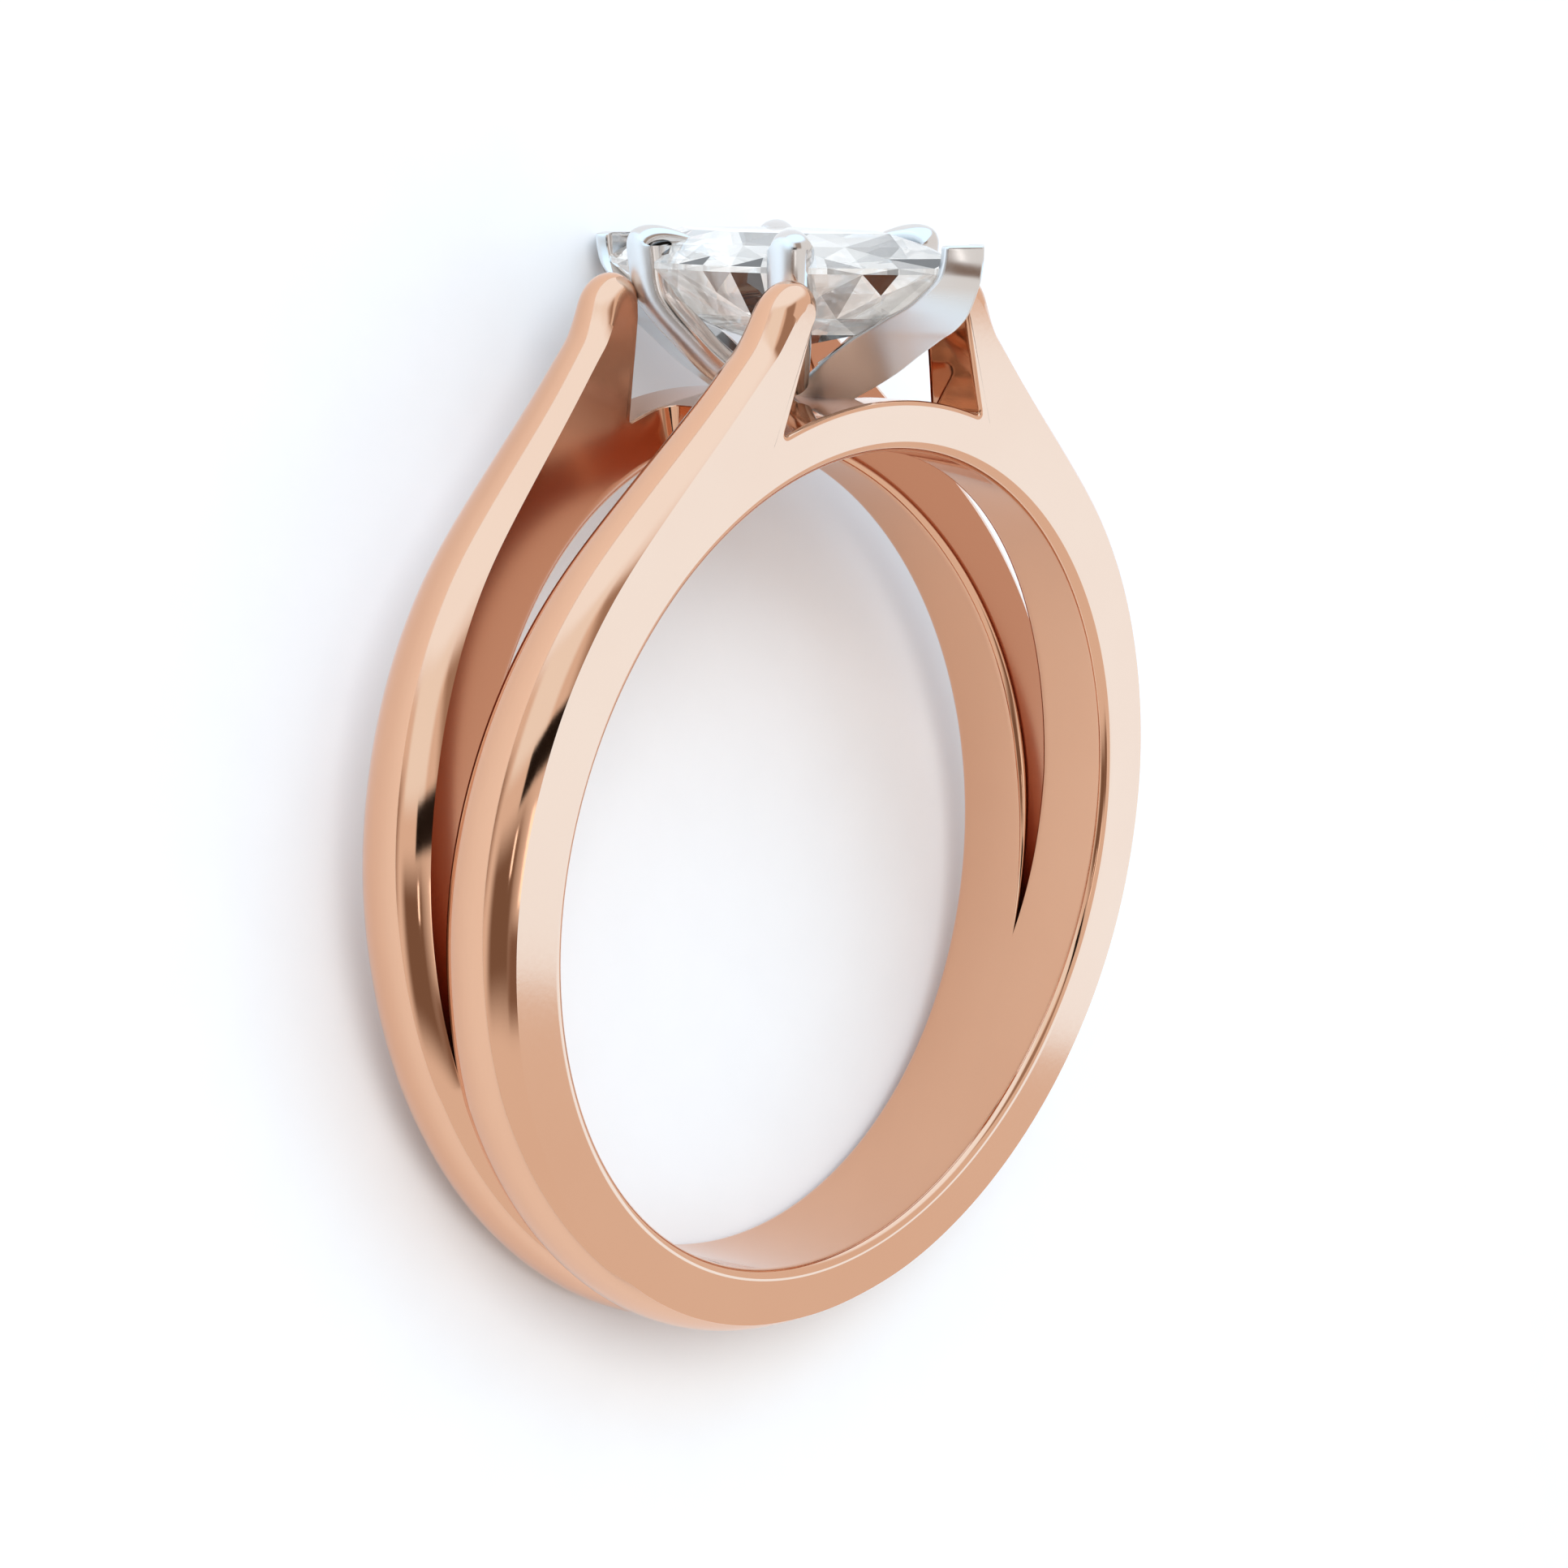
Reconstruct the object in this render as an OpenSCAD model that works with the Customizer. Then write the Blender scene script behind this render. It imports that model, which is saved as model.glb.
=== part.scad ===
// Split shank ring with a marquise stone in a six prong basket, lying on its side.
// Ring frame while modelling: X across the ring, Y along the finger, Z up to the stone.
// The finished ring is then laid down as it rests: the far side face on the floor.

/* [Shank] */
// Radius of the finger hole
bore_r = 8.65; // [8.5:0.05:8.8]
// Width of the band along the finger, at the height of the bore axis
band_w = 4.128; // [3.9:0.01:4.4]
// Lean of each side face, outwards toward the stone, in degrees
side_lean = 4.32; // [4:0.01:4.6]
// Thickness of the band at the foot, from the bore to the side crease
foot_t = 1.21; // [1.1:0.01:1.35]
// Rise of the four shoulder tips above the bridge plate
tip_rise = 2.51; // [2.4:0.01:2.6]
// Space between the two shoulder tips of one side
tip_gap = 3.86; // [3.7:0.01:4]
// Break of the edge between bore and side face
bore_edge = 0.2; // [0.1:0.05:0.25]

/* [Bridge plate] */
// Thickness of the plate that joins the ribs under the head
plate_t = 1.05; // [0.95:0.01:1.15]
// Half length of the solid middle of the plate, where both slots end
slot_end_x = 1.88; // [1.8:0.01:2]
// Corner radius of each slot end
slot_corner_r = 0.4; // [0.2:0.05:0.6]

/* [Stone] */
// Stone length, tip to tip
stone_l = 9.7; // [9.5:0.02:9.9]
// Stone width
stone_w = 4.9; // [4.8:0.02:5]
// Height of the girdle middle above the bridge plate
girdle_rise = 2.66; // [2.6:0.01:2.7]
// Girdle thickness
girdle_t = 0.12; // [0.08:0.01:0.16]
// Crown height above the girdle middle
crown_h = 0.68; // [0.6:0.01:0.75]
// Pavilion depth below the girdle middle
pavilion_h = 1.66; // [1.6:0.01:1.7]

/* [Head] */
// Claw thickness
claw_d = 0.94; // [0.9:0.01:0.98]
// Rise of the claw tops above the girdle middle
claw_rise = 0.8; // [0.78:0.01:0.86]
// Rise of the V prong tops above the girdle middle
vee_rise = 0.51; // [0.45:0.01:0.55]
// Distance of each V prong's outer edge beyond the stone's tip
vee_over = 0.36; // [0.33:0.01:0.42]
// Length of each leg of a V prong
vee_leg = 0.8; // [0.75:0.01:0.85]
// Wall of each leg of a V prong
vee_wall = 0.3; // [0.28:0.01:0.34]
// Half length of the head's foot on the plate, along the finger
foot_l = 1.5; // [1.4:0.05:1.7]
// Half width of the head's foot on the plate
foot_w = 0.62; // [0.55:0.01:0.7]

/* [Fits] */
// Seat gap between the head and the shank
seat_gap = 0.03; // [0.02:0.01:0.05]
// Gap between the stone and the notches in the prongs
stone_gap = 0.03; // [0.02:0.01:0.05]

/* [Hidden] */
$fn = 96;

// Radii and heights from the bore axis that follow from the sizes above
plate_r = bore_r + plate_t;
foot_crease_r = bore_r + foot_t;
tip_h = plate_r + tip_rise;
girdle_z = plate_r + girdle_rise;
claw_h = girdle_z + claw_rise;
vee_h = girdle_z + vee_rise;
vee_reach = stone_l / 2 + vee_over;
claw_x = stone_w * 0.402;
claw_y = stone_l * 0.197;

// The two ribs share this much at the foot, and the loft starts this far inside the bore
overlap = foot_t / 60;
inner_r = bore_r - foot_t / 5;
lean = tan(side_lean);
// Longer than anything that a cut goes through
beyond = 3 * band_w;

// Half width of the band at height z
function half_w(z) = band_w / 2 + lean * z;

// Band crease by the angle from the foot: angle, radius as a share of the foot's, dome edge slope
band_rows = [
    [0, 1, 29],
    [15, 1, 39],
    [30, 1.002, 47],
    [45, 1.006, 50],
    [60, 1.0105, 53],
    [75, 1.013, 57],
    [90, 1.0145, 59],
    [102, 1.0165, 59],
    [113, 1.0195, 59],
    [121, 1.0225, 58],
    [128, 1.0255, 57]
];

// Shoulder outline over the tip, as shares of the tip height: crease x, z, inner x, z, dome slope
shoulder_rows = [
    [0.6175, 0.5535, 0.5080, 0.4610, 56],
    [0.5735, 0.5995, 0.4693, 0.5029, 55],
    [0.5266, 0.6454, 0.4185, 0.5455, 54],
    [0.4791, 0.6921, 0.3595, 0.5864, 53],
    [0.4283, 0.7396, 0.2850, 0.6257, 52],
    [0.3800, 0.7862, 0.2130, 0.6545, 51],
    [0.3571, 0.8090, 0.2375, 0.7166, 51],
    [0.3333, 0.8337, 0.2530, 0.7560, 51],
    [0.3160, 0.8500, 0.2515, 0.7640, 52],
    [0.3014, 0.8650, 0.2430, 0.7890, 53],
    [0.2826, 0.8840, 0.2334, 0.8180, 57],
    [0.2678, 0.9042, 0.2236, 0.8480, 62],
    [0.2545, 0.9230, 0.2145, 0.8750, 69],
    [0.2441, 0.9378, 0.2112, 0.8855, 75],
    [0.2342, 0.9510, 0.2088, 0.8930, 78],
    [0.2236, 0.9602, 0.2070, 0.8990, 78],
    [0.2129, 0.9650, 0.2056, 0.9030, 78],
    [0.2039, 0.9620, 0.2045, 0.9070, 76],
    [0.1982, 0.9543, 0.2037, 0.9100, 68]
];

// Half gap of the slot: weights of the powers 1 to 4 of the height share from its foot to the tips
slot_weights = [0.743, -1.800, 4.393, -2.336];
slot_foot_z = -0.263 * tip_h;
function slot_half(z) =
    let (share = (z - slot_foot_z) / (tip_h - slot_foot_z), w = slot_weights)
    z < slot_foot_z
        ? -overlap
        : share * (w[0] + share * (w[1] + share * (w[2] + share * w[3]))) * tip_gap / 2;

// One outline station: crease x and z, inner x and z, dome slope
band_st = [
    for (r = band_rows)
        [
            foot_crease_r * r[1] * sin(r[0]),
            -foot_crease_r * r[1] * cos(r[0]),
            inner_r * sin(r[0]),
            -inner_r * cos(r[0]),
            r[2]
        ]
];
shoulder_st = [
    for (r = shoulder_rows)
        [r[0] * tip_h, r[1] * tip_h, r[2] * tip_h, r[3] * tip_h, r[4]]
];
half_st = concat(band_st, shoulder_st);
last = len(half_st) - 1;

// Smooth curve through the rows, with a few steps between neighbours
function mirror_row(r) = [-r[0], r[1], -r[2], r[3], r[4]];
function row_at(i) =
    i < 0 ? mirror_row(half_st[-i]) : half_st[min(i, last)];
function smooth(i, t) =
    let (a = row_at(i - 1), b = row_at(i), c = row_at(i + 1), d = row_at(i + 2))
    0.5 * (2 * b + (c - a) * t + (2 * a - 5 * b + 4 * c - d) * t * t
        + (3 * b - a - 3 * c + d) * t * t * t);
steps = 2;
fine_st = concat(
    [for (i = [0 : last - 1]) for (s = [0 : steps - 1]) smooth(i, s / steps)],
    [half_st[last]]
);
fine_n = len(fine_st);

// Direction in which the dome rises: square to the run of the crease
function crease_dir(i) =
    let (a = i > 0 ? fine_st[i - 1] : mirror_row(fine_st[1]))
    let (b = fine_st[min(i + 1, fine_n - 1)])
    let (v = [b[1] - a[1], a[0] - b[0]])
    v / norm(v);

// Section of the near rib at station i, across the finger axis
dome_n = 8;
function dome_at(s, n, f) =
    let (y0 = -half_w(s[1]), y1 = -slot_half(s[1]))
    let (h = (y1 - y0) / 2, u = 2 * f - 1, r = h / sin(s[4]))
    let (rise = sqrt(max(r * r - h * h * u * u, 0)) - r * cos(s[4]))
    [s[0] + n[0] * rise, y0 + (y1 - y0) * f, s[1] + n[1] * rise];
function rib_ring(s, n) = concat(
    [[s[2], -half_w(s[3]), s[3]]],
    [for (k = [0 : dome_n]) dome_at(s, n, k / dome_n)],
    [[s[2], -slot_half(s[3]), s[3]]]
);
function flip_x(ring) = [for (p = ring) [-p[0], p[1], p[2]]];
half_rings = [for (i = [0 : fine_n - 1]) rib_ring(fine_st[i], crease_dir(i))];
rib_rings = concat(
    [for (i = [fine_n - 1 : -1 : 1]) half_rings[i]],
    [for (ring = half_rings) flip_x(ring)]
);

// Closed skin over a row of rings, each end closed by a fan from its middle
function mid(ring) = [for (p = ring) 1] * ring / len(ring);
module skin(rings) {
    n = len(rings[0]);
    m = len(rings);
    points = concat([for (r = rings) each r], [mid(rings[0]), mid(rings[m - 1])]);
    sides = [
        for (i = [0 : m - 2])
            for (k = [0 : n - 1])
                each [
                    [i * n + k, i * n + (k + 1) % n, (i + 1) * n + k],
                    [i * n + (k + 1) % n, (i + 1) * n + (k + 1) % n, (i + 1) * n + k]
                ]
    ];
    ends = [
        for (k = [0 : n - 1])
            each [
                [m * n, (k + 1) % n, k],
                [m * n + 1, (m - 1) * n + k, (m - 1) * n + (k + 1) % n]
            ]
    ];
    polyhedron(points = points, faces = concat(sides, ends), convexity = 8);
}

// Outer edge of a V prong, as shares: distance from the middle, rise from the plate, inner edge
// distance, half width over the two legs, and distance of the legs' ends
vee_rows = [
    [1, 1.000, 0.935, 1, 0.908],
    [0.999, 0.899, 0.934, 1, 0.9],
    [0.989, 0.797, 0.922, 1, 0.875],
    [0.973, 0.716, 0.86, 1, 0.82],
    [0.946, 0.614, 0.78, 1, 0.73],
    [0.916, 0.537, 0.69, 1, 0.63],
    [0.86, 0.460, 0.57, 1, 0.535],
    [0.799, 0.403, 0.46, 0.96, 0.465],
    [0.7, 0.302, 0.34, 0.82, 0.35],
    [0.599, 0.192, 0.22, 0.62, 0.24],
    [0.49, 0.095, 0.13, 0.48, 0.15],
    [0.384, 0.009, 0.08, 0.4, 0.09],
    [0.27, -0.088, 0.04, 0.36, 0.05]
];

// Laid down pose: tilt between the foot's lower rim and the lower V prong
foot_half_w = half_w(-foot_crease_r);
function vee_z(r) = plate_r + r[1] * (vee_h - plate_r);
rest_tilt = max([
    for (r = vee_rows)
        atan2(r[0] * vee_reach - foot_half_w, vee_z(r) + foot_crease_r)
]);
rest_lift = foot_half_w * cos(rest_tilt) + foot_crease_r * sin(rest_tilt);
rest_top_y = vee_reach * sin(rest_tilt) + vee_h * cos(rest_tilt);
rest_foot_y = min([
    for (p = half_rings[0]) p[1] * sin(rest_tilt) + p[2] * cos(rest_tilt)
]);
rest_mid_y = (rest_top_y + rest_foot_y) / 2;

module lay_down() {
    translate([0, -rest_mid_y, rest_lift])
        rotate([rest_tilt - 90, 0, 0])
            children();
}

// Both side faces as one leaning bar, used to trim what spans the band
module between_sides(inset) {
    low = bore_r * 0.7;
    high = tip_h;
    rotate([90, 0, 90])
        linear_extrude(height = beyond, center = true)
            polygon([
                [-half_w(low) + inset, low],
                [half_w(low) - inset, low],
                [half_w(high) - inset, high],
                [-half_w(high) + inset, high]
            ]);
}

// The slot's space beside the plate's middle, with its rounded end
module slot_space() {
    low = bore_r * 0.8;
    high = plate_r + plate_t;
    tall = high - low;
    wide = slot_half(bore_r + plate_t / 2);
    slack = overlap / 2;
    intersection() {
        rotate([90, 0, 90])
            linear_extrude(height = beyond)
                polygon([
                    [-slot_half(low) - slack, low],
                    [slot_half(low) + slack, low],
                    [slot_half(high) + slack, high],
                    [-slot_half(high) - slack, high]
                ]);
        union() {
            translate([slot_end_x + slot_corner_r, -band_w / 2, low])
                cube([beyond, band_w, tall]);
            translate([slot_end_x, slot_corner_r - wide, low])
                cube([beyond, 2 * wide - 2 * slot_corner_r, tall]);
            for (sy = [-1, 1])
                translate([
                    slot_end_x + slot_corner_r,
                    sy * (wide - slot_corner_r),
                    low
                ])
                    cylinder(h = tall, r = slot_corner_r);
        }
    }
}

// Plate that carries the head and ties the four shoulders together
module bridge_plate() {
    plate_half = tip_h * 0.246;
    difference() {
        intersection() {
            rotate([90, 0, 0])
                cylinder(h = beyond, r = plate_r, center = true, $fn = 180);
            translate([-plate_half, -band_w, bore_r * 0.8])
                cube([2 * plate_half, 2 * band_w, bore_r]);
            between_sides(overlap / 2);
        }
        slot_space();
        mirror([1, 0, 0])
            slot_space();
    }
}

// Break of the bore's edge on one side face, leaning with that face
module bore_edge_cut() {
    rotate([side_lean, 0, 0])
        translate([0, -band_w / 2 * cos(side_lean), 0])
            rotate([-90, 0, 0])
                translate([0, 0, -foot_t])
                    cylinder(
                        h = foot_t + bore_edge,
                        r1 = bore_r + bore_edge + foot_t,
                        r2 = bore_r,
                        $fn = 180
                    );
}

// Clearance for the four claws that stand against the shoulder tips
module claw_clearance() {
    for (sx = [-1, 1])
        for (sy = [-1, 1])
            translate([sx * claw_x, sy * claw_y, tip_h - tip_rise / 2])
                cylinder(h = tip_rise, r = claw_d / 2 + seat_gap, $fn = 48);
}

module split_shank() {
    color([0.86, 0.6, 0.48])
        difference() {
            union() {
                skin(rib_rings);
                mirror([0, 1, 0])
                    skin(rib_rings);
                bridge_plate();
            }
            rotate([90, 0, 0])
                cylinder(h = beyond, r = bore_r, center = true, $fn = 180);
            bore_edge_cut();
            mirror([0, 1, 0])
                bore_edge_cut();
            claw_clearance();
        }
}

// Claw, as shares: outer edge distance from the middle, rise from the plate, thickness, width
claw_rows = [
    [0.3, -0.035, 0.8, 1],
    [0.49, 0.098, 0.8, 1],
    [0.6, 0.194, 0.8, 1],
    [0.704, 0.295, 0.82, 0.98],
    [0.81, 0.399, 0.84, 0.96],
    [0.885, 0.487, 0.86, 0.96],
    [0.935, 0.566, 0.9, 0.97],
    [0.968, 0.658, 0.95, 0.98],
    [0.986, 0.753, 1, 1],
    [0.997, 0.848, 1, 1],
    [0.997, 0.909, 1, 0.99],
    [0.97, 0.962, 0.9, 0.95],
    [0.915, 0.990, 0.74, 0.88],
    [0.84, 1.000, 0.58, 0.76],
    [0.76, 0.990, 0.44, 0.6],
    [0.68, 0.968, 0.32, 0.42],
    [0.61, 0.939, 0.2, 0.24],
    [0.57, 0.916, 0.1, 0.1]
];
claw_reach = norm([claw_x, claw_y]) + claw_d / 2;
claw_side = atan2(claw_y, claw_x);
function claw_row(i) = claw_rows[max(0, min(len(claw_rows) - 1, i))];
function claw_ring(i) =
    let (a = claw_row(i - 1), b = claw_row(i), c = claw_row(i + 1))
    let (rise = claw_h - plate_r)
    let (d = [(c[0] - a[0]) * claw_reach, (c[1] - a[1]) * rise])
    let (n = [-d[1], d[0]] / norm(d))
    let (t = b[2] * claw_d, w = b[3] * claw_d)
    [
        for (k = [0 : 13])
            let (q = k * 360 / 14)
            let (e = t / 2 * (1 - cos(q)))
            [
                b[0] * claw_reach + n[0] * e,
                -w / 2 * sin(q),
                plate_r + b[1] * rise + n[1] * e
            ]
    ];
module claw_arm() {
    skin([for (i = [0 : len(claw_rows) - 1]) claw_ring(i)]);
}

// V prong: two legs at the stone's tip that close to a solid strap at the base
vee_side = 53;
function vee_ring(r) =
    let (ya = r[0] * vee_reach, z = vee_z(r), yi = r[2] * vee_reach)
    let (leg = vee_leg * r[3], wall = min(vee_wall, leg / 2))
    let (lx = leg * sin(vee_side), ly = r[4] * vee_reach)
    let (ex = lx - wall * cos(vee_side), ey = ly - wall * sin(vee_side))
    [
        [-vee_wall / 10, ya, z],
        [-lx, ly, z],
        [-ex, min(ey, yi + vee_wall), z],
        [0, min(yi, ya - vee_wall), z],
        [ex, min(ey, yi + vee_wall), z],
        [lx, ly, z],
        [vee_wall / 10, ya, z]
    ];
module vee_prong() {
    skin([for (r = vee_rows) vee_ring(r)]);
}

module prong_head() {
    color([0.8, 0.81, 0.82])
        difference() {
            union() {
                for (sx = [0, 1])
                    for (sy = [0, 1])
                        mirror([sx, 0, 0])
                            mirror([0, sy, 0])
                                rotate([0, 0, claw_side])
                                    claw_arm();
                for (sy = [0, 1])
                    mirror([0, sy, 0])
                        vee_prong();
                translate([0, 0, plate_r - foot_w])
                    scale([foot_w, foot_l, foot_w])
                        cylinder(h = 2, r1 = 1, r2 = 0.7, $fn = 24);
            }
            rotate([90, 0, 0])
                cylinder(h = beyond, r = plate_r + seat_gap, center = true, $fn = 180);
            stone_solid(stone_gap);
        }
}

// Marquise outline: two equal arcs that meet at the tips
function arc_r(l, w) = (l * l + w * w) / (2 * w);
function outline(l, w, count, from) =
    let (r = arc_r(l, w), a = asin(l / r))
    [
        for (side = [-1, 1])
            for (k = [0 : count - 1])
                let (q = side * (a - 2 * a * (k + from) / count))
                [side * (r * cos(q) - (r - w)), r * sin(q)]
    ];

// Stone: table, crown break, girdle, pavilion break and keel, grown by g for the notches
function stone_ring(l, w, z, from) =
    [for (p = outline(l, w, 6, from)) [p[0], p[1], z]];
module stone_solid(g) {
    l = stone_l / 2 + g;
    w = stone_w / 2 + g;
    skin([
        stone_ring(l * 0.12, w * 0.06, girdle_z - pavilion_h - g, 0),
        stone_ring(l * 0.66, w * 0.62, girdle_z - pavilion_h * 0.6 - g, -0.5),
        stone_ring(l, w, girdle_z - girdle_t / 2 - g, 0),
        stone_ring(l, w, girdle_z + girdle_t / 2 + g, 0),
        stone_ring(l * 0.8, w * 0.8, girdle_z + crown_h * 0.6 + g, -0.5),
        stone_ring(l * 0.6, w * 0.56, girdle_z + crown_h + g, 0)
    ]);
}

module marquise_stone() {
    color([0.93, 0.94, 0.96])
        stone_solid(0);
}

lay_down()
        split_shank();
lay_down()
        prong_head();
lay_down()
        marquise_stone();
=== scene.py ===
import math

import bpy
import bmesh
import numpy as np
from mathutils import Matrix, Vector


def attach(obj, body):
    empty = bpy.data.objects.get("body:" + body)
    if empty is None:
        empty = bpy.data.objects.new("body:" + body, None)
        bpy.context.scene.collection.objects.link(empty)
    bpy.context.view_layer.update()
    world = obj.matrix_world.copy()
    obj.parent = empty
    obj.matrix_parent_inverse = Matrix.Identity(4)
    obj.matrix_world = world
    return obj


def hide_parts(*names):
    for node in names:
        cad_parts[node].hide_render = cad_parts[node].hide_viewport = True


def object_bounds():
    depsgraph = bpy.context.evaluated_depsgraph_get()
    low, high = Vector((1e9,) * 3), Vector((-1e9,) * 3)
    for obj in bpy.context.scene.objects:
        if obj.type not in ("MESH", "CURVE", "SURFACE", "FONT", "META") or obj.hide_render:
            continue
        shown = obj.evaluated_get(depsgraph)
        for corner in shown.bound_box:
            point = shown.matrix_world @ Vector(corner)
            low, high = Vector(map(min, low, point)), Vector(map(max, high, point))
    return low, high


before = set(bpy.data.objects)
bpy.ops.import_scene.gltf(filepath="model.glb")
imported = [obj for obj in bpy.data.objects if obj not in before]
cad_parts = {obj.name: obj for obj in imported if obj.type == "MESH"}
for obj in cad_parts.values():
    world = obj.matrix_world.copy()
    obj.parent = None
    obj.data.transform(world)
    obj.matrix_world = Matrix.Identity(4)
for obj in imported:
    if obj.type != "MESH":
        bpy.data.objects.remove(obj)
cad_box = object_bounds()

MM_PER_M = 1000

# Sizes in millimetres, in the ring's own frame: X across, Y along the finger, Z up to the stone
BORE_R = 8.65
BAND_W = 4.128
SIDE_LEAN = math.tan(math.radians(4.32))
FOOT_CREASE_R = 9.86
TIP_H = 12.21
TIP_GAP = 3.86
PLATE_R = 9.7
SLOT_END_X = 1.88
SLOT_CORNER_R = 0.4
SLOT_FOOT_Z = -3.21
BORE_FILLET = 0.234
RIM_FILLET = 0.09

CLAW_D = 0.94
CLAW_X = 1.97
CLAW_Y = 1.91
CLAW_H = 13.16
VEE_REACH = 5.21
VEE_H = 12.87
VEE_LEG = 0.8
VEE_WALL = 0.3
# Angle in degrees between a leg of a V prong and the stone's long axis
VEE_SIDE = 53

STONE_L = 9.7
STONE_W = 4.9
GIRDLE_Z = 12.36
GIRDLE_T = 0.12
CROWN_H = 0.68
PAVILION_H = 1.66

# Band crease: angle from the foot, radius as a share of the foot's, and slope of the dome's edge
BAND_ROWS = np.array([
    [0, 1, 29], [15, 1, 39], [30, 1.002, 47], [45, 1.006, 50], [60, 1.0105, 53],
    [75, 1.013, 57], [90, 1.0145, 59], [102, 1.0165, 59], [113, 1.0195, 59],
    [121, 1.0225, 58], [128, 1.0255, 57],
])
# Shoulder's crease over the tip and down the inner wall: x and z as shares of the tip height, dome
# slope, wall share (0 a dome, 1 a plain wall with small fillets), and the bore angle that faces it
SHOULDER_ROWS = np.array([
    [0.6175, 0.5535, 56, 0, 134.5], [0.5735, 0.5995, 55, 0, 138.5],
    [0.5266, 0.6454, 54, 0, 142.0], [0.4791, 0.6921, 53, 0, 145.0],
    [0.4283, 0.7396, 52, 0, 147.5], [0.3800, 0.7862, 51, 0, 149.5],
    [0.3333, 0.8337, 51, 0, 151.0], [0.3014, 0.8650, 53, 0, 151.8],
    [0.2826, 0.8840, 57, 0, 152.2], [0.2678, 0.9042, 62, 0, 152.6],
    [0.2545, 0.9230, 69, 0, 152.9], [0.2441, 0.9378, 75, 0, 153.1],
    [0.2342, 0.9510, 78, 0, 153.3], [0.2236, 0.9602, 78, 0, 153.5],
    [0.2129, 0.9650, 78, 0, 153.7], [0.2039, 0.9620, 76, 0, 153.9],
    [0.1982, 0.9543, 68, 0, 154.1], [0.1961, 0.9445, 50, 0.05, 154.25],
    [0.1966, 0.9353, 30, 0.35, 154.4], [0.1990, 0.9255, 12, 0.85, 154.55],
    [0.2023, 0.9148, 4, 1, 154.7], [0.2129, 0.8800, 4, 1, 155.0],
    [0.2236, 0.8480, 4, 1, 155.25], [0.2334, 0.8180, 4, 1, 155.5],
    [0.2430, 0.7890, 4, 1, 155.75], [0.2515, 0.7640, 4, 1, 156.0],
])
# The window's lower corner, where the inner wall meets the plate: x and z as shares, and its reach
CORNER = (0.2560, 0.7525)
CORNER_REACH = 0.16
CORNER_STEPS = 14
# The crease's own rows end this far before the corner begins
CORNER_CLEAR = 0.03
# Points along the plate's top before the slot's end, round it, and from there to the middle
PLATE_STEPS = 12
SLOT_CORNER_STEPS = 9
PLATE_MIDDLE_STEPS = 24
SLOT_END_STEP = 1e-4
PLATE_SLOPE = 4
# Past this distance from the middle the plate's sections close up on the bore, to this share
FAN_X = 2.3
FAN_SHARE = 0.6
# Half gap of the slot: weights of the powers 1 to 4 of the height share, from its foot to the tips
SLOT_WEIGHTS = (0.743, -1.800, 4.393, -2.336)
# The slot's rounded edge on the bore is full where the half gap is at least this wide
FILLET_FADE = 0.25

# Samples of a smooth curve for each of its rows
ROW_SAMPLES = 40
# Spacing of the fine curve, and of the sections picked from it along the band and over the tip
FINE_STEP = 0.02
BAND_STEP = 0.16
TIP_STEP = 0.035
# Widths of the bells that soften the curve there, and the heights where one gives way to the other
BAND_BELL = 0.7
TIP_BELL = 0.06
TIP_FROM_Z = 9.6
TIP_BLEND_H = 1.6
TIP_FULL_Z = 11.5
# Points over the outer edge of a section: on each rim, on the flat of the wall between, in all
RIM_STEPS = 6
WALL_STEPS = 7
EDGE_STEPS = 2 * (RIM_STEPS + 1) + WALL_STEPS
RIM_HOLD = 0.02
# Shares of the way at which the slot's wall, the bore and the side face have their columns
SLOT_WALL_SHARES = (0.02, 0.5, 0.98)
BORE_SHARES = (0.03, 0.35, 0.65, 0.97)
SIDE_SHARES = (0.03, 0.3, 0.7, 0.97)
SLOT_FILLET_STEPS = 8
BORE_FILLET_STEPS = 9
# A length in millimetres that counts as none, and the distance in metres at which points merge
NO_LENGTH = 1e-6
WELD = 1e-7

# Outer edge of a V prong, as shares: distance from the middle, height, inner edge distance, half
# width over the two legs, and distance of the legs' ends
VEE_ROWS = np.array([
    [1.0, 1.0, 0.935, 1, 0.908], [0.999, 0.975, 0.934, 1, 0.90], [0.989, 0.95, 0.922, 1, 0.875],
    [0.973, 0.93, 0.86, 1, 0.82], [0.946, 0.905, 0.78, 1, 0.73], [0.916, 0.886, 0.69, 1, 0.63],
    [0.86, 0.867, 0.57, 1, 0.535], [0.799, 0.853, 0.46, 0.96, 0.465],
    [0.7, 0.828, 0.34, 0.82, 0.35], [0.599, 0.801, 0.22, 0.62, 0.24],
    [0.49, 0.777, 0.13, 0.48, 0.15], [0.384, 0.756, 0.08, 0.40, 0.09],
    [0.30, 0.738, 0.05, 0.36, 0.05],
])
VEE_SECTIONS = 60
# Reach of the rounding at each corner of a section, and of the rounded rim round the flat top
VEE_RADII = (0.05, 0.09, 0.09, 0.03, 0.09, 0.09)
VEE_RIM = 0.06
VEE_RIM_STEPS = 5
ARC_STEPS = 5
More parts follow.
